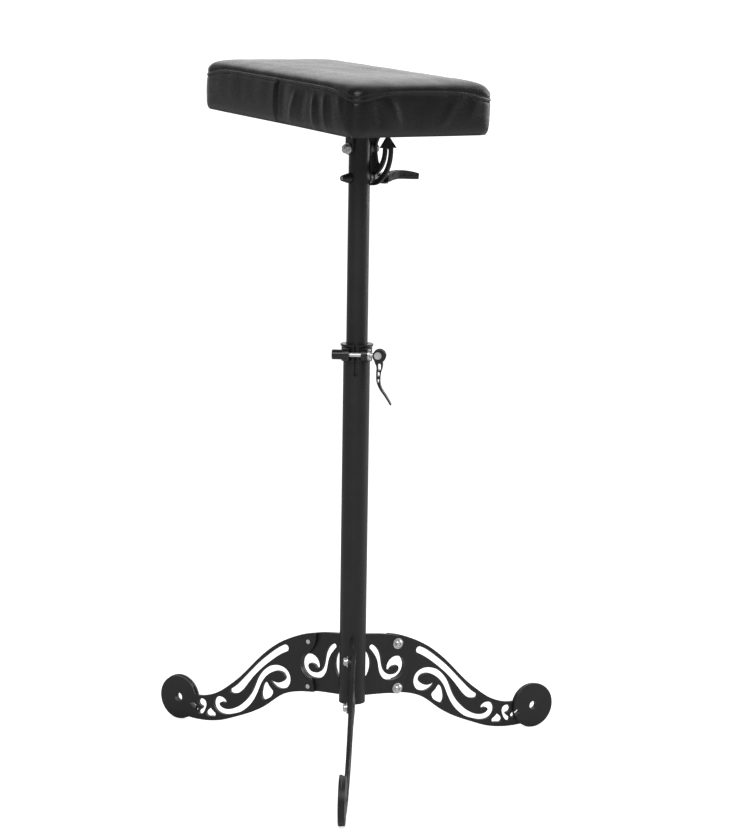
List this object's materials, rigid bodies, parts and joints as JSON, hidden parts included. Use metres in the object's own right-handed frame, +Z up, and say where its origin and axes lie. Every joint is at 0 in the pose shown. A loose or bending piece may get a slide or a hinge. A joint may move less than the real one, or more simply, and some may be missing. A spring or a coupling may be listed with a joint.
{
  "type": "tattoo arm rest stand",
  "caption": "Height-adjustable padded arm rest: tilting rectangular cushion on a telescoping column with cam-lever clamps and a scroll-cut tripod base.",
  "frame": {"origin": "on the floor, under the middle of the whole object's box", "axes": "+Z up; +X along one leg, away from the column; the cushion's long side lies 6 degrees from Y, with its long overhang on the +Y side"},
  "size_m": [0.4785, 0.5493, 0.9148],
  "materials": {
    "black_alloy": "gloss black anodised",
    "black_cloth": "plain weave",
    "black_mast": "satin black powder coat",
    "black_nylon": "moulded",
    "black_steel": "satin black powder coat",
    "black_vinyl": "grained",
    "bright_steel": "bright zinc",
    "foam": "open cell foam",
    "plywood": "bare"
  },
  "bodies": {
    "base": {"column_tube": "black_steel", "guide_bush": "black_nylon", "column_end_cap": "black_nylon", "hub_plate_right": "black_steel", "hub_plate_left": "black_steel", "hub_plate_front": "black_steel", "leg_plate_right": "black_steel", "leg_plate_left": "black_steel", "leg_plate_front": "black_steel", "foot_disc_right": "black_steel", "foot_disc_left": "black_steel", "foot_disc_front": "black_steel", "leg_screws": "bright_steel", "leg_washers": "bright_steel", "clamp_collar": "black_alloy"},
    "collar_clamp_skewer": {"collar_skewer": "bright_steel", "collar_trunnion": "bright_steel", "collar_saddle_washer": "bright_steel"},
    "collar_clamp_lever": {"collar_lever": "black_alloy"},
    "collar_clamp_nut": {"collar_nut": "black_alloy"},
    "carriage": {"tube_glide": "black_nylon"},
    "mast": {"upper_tube": "black_mast", "pivot_bolt": "bright_steel", "pivot_bolt_washer": "bright_steel", "pivot_nut": "bright_steel", "pivot_nut_washer": "bright_steel", "pivot_spacer": "bright_steel", "skewer_spacer": "bright_steel"},
    "tilt_clamp_skewer": {"tilt_skewer": "bright_steel", "tilt_trunnion": "bright_steel", "tilt_saddle_washer": "bright_steel"},
    "tilt_clamp_lever": {"tilt_lever": "black_alloy"},
    "tilt_clamp_nut": {"tilt_nut": "black_alloy"},
    "cushion": {"slotted_plate": "black_steel", "bracket_strap": "black_steel", "mount_plate": "black_steel", "bracket_screws": "bright_steel", "pad_board": "plywood", "pad_foam": "foam", "pad_cover": "black_vinyl", "base_cloth": "black_cloth"}
  },
  "joints": [
    {"name": "height_slide", "type": "slide", "parent": "base", "child": "carriage", "axis": [0, 0, 1], "range_m": [-0.19, 0.115]},
    {"name": "mast_swivel", "type": "hinge", "parent": "carriage", "child": "mast", "pos_m": [-0.07769, 0.00025, 0.3], "axis": [0, 0, 1], "continuous": true},
    {"name": "cushion_tilt", "type": "hinge", "parent": "mast", "child": "cushion", "pos_m": [-0.07769, 0.00025, 0.805], "axis": [0.9945, 0.1045, 0], "range_deg": [-3.9, 88]},
    {"name": "collar_skewer_turn", "type": "hinge", "parent": "base", "child": "collar_clamp_skewer", "pos_m": [-0.08977, -0.01885, 0.5412], "axis": [0.8453, -0.5344, 0], "continuous": true},
    {"name": "collar_lever_swing", "type": "hinge", "parent": "collar_clamp_skewer", "child": "collar_clamp_lever", "pos_m": [-0.06492, -0.03456, 0.5412], "axis": [-0.5344, -0.8453, 0], "range_deg": [0, 150]},
    {"name": "collar_nut_spin", "type": "hinge", "parent": "collar_clamp_skewer", "child": "collar_clamp_nut", "pos_m": [-0.10938, -0.00646, 0.5412], "axis": [0.8453, -0.5344, 0], "continuous": true},
    {"name": "tilt_skewer_turn", "type": "hinge", "parent": "mast", "child": "tilt_clamp_skewer", "pos_m": [-0.07769, 0.00025, 0.7675], "axis": [0.9945, 0.1045, 0], "continuous": true},
    {"name": "tilt_lever_swing", "type": "hinge", "parent": "tilt_clamp_skewer", "child": "tilt_clamp_lever", "pos_m": [-0.04457, 0.00373, 0.7675], "axis": [-0.0199, 0.1898, -0.9816], "range_deg": [-67, 28]},
    {"name": "tilt_nut_spin", "type": "hinge", "parent": "tilt_clamp_skewer", "child": "tilt_clamp_nut", "pos_m": [-0.09758, -0.00184, 0.7675], "axis": [0.9945, 0.1045, 0], "continuous": true}
  ]
}
